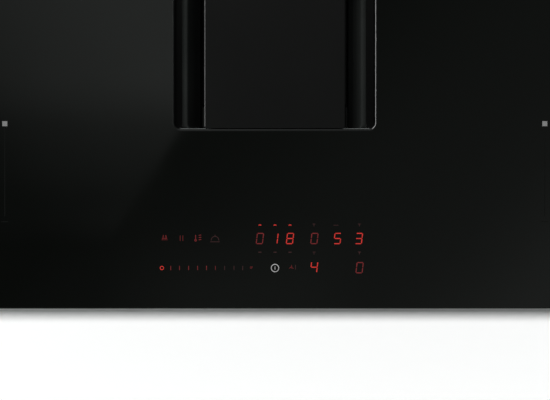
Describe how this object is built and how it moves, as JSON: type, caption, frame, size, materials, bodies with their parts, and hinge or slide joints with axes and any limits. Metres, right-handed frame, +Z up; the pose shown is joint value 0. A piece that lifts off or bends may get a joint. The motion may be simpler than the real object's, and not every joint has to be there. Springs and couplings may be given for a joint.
{
  "type": "downdraft induction cooktop",
  "caption": "Flush black glass induction hob with a central lift-out vent cover, filter and drip tray over an intake box, air duct and blower.",
  "frame": {"origin": "middle of the base: centred on the glass in X and Y, Z at the underside of the sump cover and the blower housing", "axes": "+X to the right as the cook stands, +Y away from the cook towards the wall, +Z up; the controls are at -Y"},
  "size_m": [0.83, 0.515, 0.2208],
  "materials": {
    "black_glass": "polished black glass-ceramic, ground edge",
    "foam": "closed-cell sealing tape",
    "dark_metal": "dark anodised, satin",
    "black_plastic": "moulded, fine satin",
    "satin_black_metal": "satin black powder coat",
    "zinc_steel": "zinc-plated sheet steel",
    "silicone": "matt silicone",
    "aluminium": "mill finish",
    "grey_plastic": "moulded, matt",
    "copper": "enamelled copper litz wire",
    "ferrite": "glass-filled plastic with ferrite bars",
    "circuit_board": "solder-masked circuit board",
    "white_plastic": "moulded, matt",
    "red_display": "smoked red display lens"
  },
  "bodies": {
    "hob": {"glass_panel": "black_glass", "rim_seal": "foam", "vent_trim": "dark_metal", "vent_collar": "black_plastic", "intake_box": "black_plastic", "sump_cover": "grey_plastic", "casing_pan": "zinc_steel", "display_holder": "white_plastic", "display_board": "circuit_board", "timer_display": "red_display", "zone_display": "red_display", "scroll_housing": "black_plastic", "scroll_lid": "black_plastic", "inlet_ring": "grey_plastic", "motor_body": "zinc_steel", "duct_base": "black_plastic", "duct_cover": "black_plastic", "outlet_spigot": "black_plastic", "terminal_box": "black_plastic", "terminal_lid": "black_plastic", "terminal_block": "white_plastic", "cable_gland": "grey_plastic", "winding_front_left": "copper", "coil_carrier_front_left": "ferrite", "clamp_bracket_front_left": "zinc_steel", "winding_rear_left": "copper", "coil_carrier_rear_left": "ferrite", "clamp_bracket_rear_left": "zinc_steel", "winding_front_right": "copper", "coil_carrier_front_right": "ferrite", "clamp_bracket_front_right": "zinc_steel", "winding_rear_right": "copper", "coil_carrier_rear_right": "ferrite", "clamp_bracket_rear_right": "zinc_steel", "coil_plate_left": "aluminium", "power_board_left": "circuit_board", "heat_sink_left": "aluminium", "fan_frame_left": "black_plastic", "coil_plate_right": "aluminium", "power_board_right": "circuit_board", "heat_sink_right": "aluminium", "fan_frame_right": "black_plastic"},
    "cover": {"cover_panel": "satin_black_metal", "cover_carrier": "zinc_steel", "cover_pad_front": "silicone", "cover_pad_rear": "silicone"},
    "filter": {"filter_frame": "aluminium", "filter_mesh": "aluminium"},
    "handle": {"filter_handle": "aluminium"},
    "tray": {"drip_tray": "grey_plastic"},
    "blower_wheel": {"impeller": "grey_plastic", "motor_shaft": "zinc_steel"},
    "left_fan": {"fan_rotor_left": "black_plastic"},
    "right_fan": {"fan_rotor_right": "black_plastic"},
    "upper_flap": {"damper_upper": "grey_plastic"},
    "lower_flap": {"damper_lower": "grey_plastic"},
    "screw_front_left": {"clamp_screw_front_left": "zinc_steel"},
    "screw_rear_left": {"clamp_screw_rear_left": "zinc_steel"},
    "screw_front_right": {"clamp_screw_front_right": "zinc_steel"},
    "screw_rear_right": {"clamp_screw_rear_right": "zinc_steel"}
  },
  "joints": [
    {"name": "cover_lift", "type": "slide", "parent": "hob", "child": "cover", "axis": [0, 0, 1], "range_m": [0, 0.25]},
    {"name": "filter_lift", "type": "slide", "parent": "hob", "child": "filter", "axis": [0, 0, 1], "range_m": [0, 0.19]},
    {"name": "tray_lift", "type": "slide", "parent": "hob", "child": "tray", "axis": [0, 0, 1], "range_m": [0, 0.235]},
    {"name": "handle_swing", "type": "hinge", "parent": "filter", "child": "handle", "pos_m": [0, 0.056, 0.17125], "axis": [1, 0, 0], "range_deg": [0, 90]},
    {"name": "blower_spin", "type": "hinge", "parent": "hob", "child": "blower_wheel", "pos_m": [0.245, -0.015, 0.05], "axis": [0, 0, 1], "continuous": true},
    {"name": "left_fan_spin", "type": "hinge", "parent": "hob", "child": "left_fan", "pos_m": [-0.31, -0.192, 0.172], "axis": [0, 0, 1], "continuous": true},
    {"name": "right_fan_spin", "type": "hinge", "parent": "hob", "child": "right_fan", "pos_m": [0.31, -0.192, 0.172], "axis": [0, 0, 1], "continuous": true},
    {"name": "upper_flap_swing", "type": "hinge", "parent": "hob", "child": "upper_flap", "pos_m": [0.2705, 0.21, 0.085], "axis": [1, 0, 0], "range_deg": [0, 70]},
    {"name": "lower_flap_swing", "type": "hinge", "parent": "hob", "child": "lower_flap", "pos_m": [0.2705, 0.21, 0.043], "axis": [1, 0, 0], "range_deg": [0, 70]},
    {"name": "screw_front_left_drive", "type": "slide", "parent": "hob", "child": "screw_front_left", "axis": [0, 0, 1], "range_m": [0, 0.016]},
    {"name": "screw_rear_left_drive", "type": "slide", "parent": "hob", "child": "screw_rear_left", "axis": [0, 0, 1], "range_m": [0, 0.016]},
    {"name": "screw_front_right_drive", "type": "slide", "parent": "hob", "child": "screw_front_right", "axis": [0, 0, 1], "range_m": [0, 0.016]},
    {"name": "screw_rear_right_drive", "type": "slide", "parent": "hob", "child": "screw_rear_right", "axis": [0, 0, 1], "range_m": [0, 0.016]}
  ],
  "couplings": [
    {"joint": "filter_lift", "follows": "cover_lift", "ratio": 0.76},
    {"joint": "tray_lift", "follows": "cover_lift", "ratio": 0.94}
  ]
}
